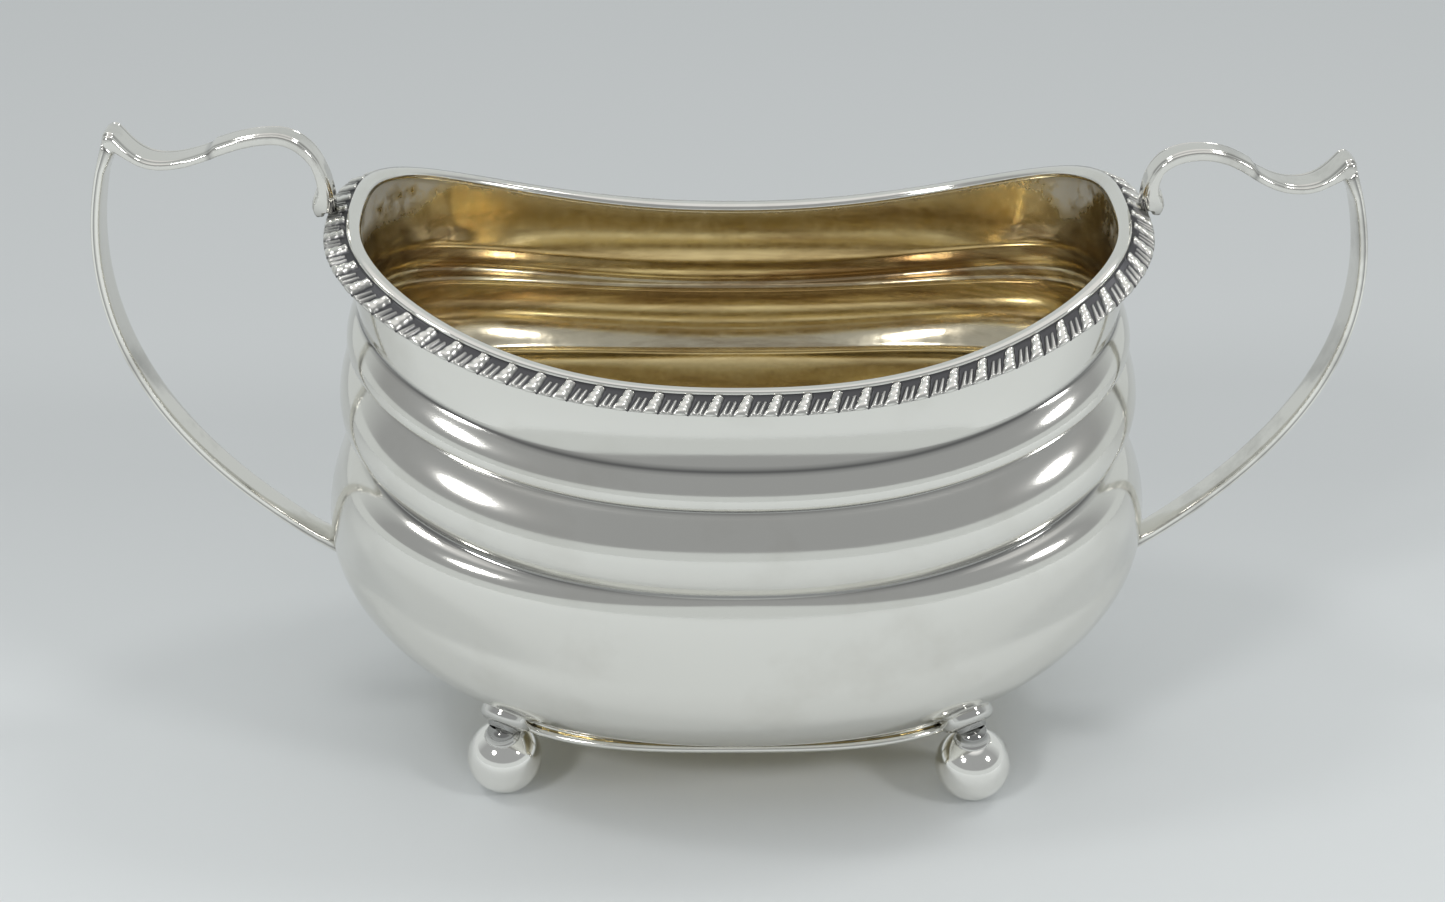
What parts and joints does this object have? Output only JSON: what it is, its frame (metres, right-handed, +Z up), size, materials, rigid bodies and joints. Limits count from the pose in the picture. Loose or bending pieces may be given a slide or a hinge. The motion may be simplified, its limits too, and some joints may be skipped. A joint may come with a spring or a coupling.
{
  "type": "sugar bowl",
  "caption": "Oblong silver sugar bowl with ribbed belly, gilt inside, slanted gadroon rim, angular strap handles and ball feet, for serving sugar at table.",
  "frame": {"origin": "on the table, midway between the feet and the two handles", "axes": "+X along the length towards the right handle, -Y to the front, +Z up"},
  "size_m": [0.1979, 0.0854, 0.107],
  "materials": {
    "silver": "bright hand-polished silver with fine scratches",
    "border_silver": "bright tops with dark tarnish in the hollows",
    "gilt_silver": "worn gilding with brown tarnish"
  },
  "bodies": {
    "root": {"body_shell": "silver", "base_plate": "gilt_silver", "foot_wire": "silver", "lip_band": "silver", "gadroon_border": "border_silver", "left_upper_arm": "silver", "left_strap": "silver", "right_upper_arm": "silver", "right_strap": "silver", "front_left_ball": "silver", "front_right_ball": "silver", "back_left_ball": "silver", "back_right_ball": "silver", "front_left_collar": "silver", "front_right_collar": "silver", "back_left_collar": "silver", "back_right_collar": "silver"}
  },
  "joints": []
}
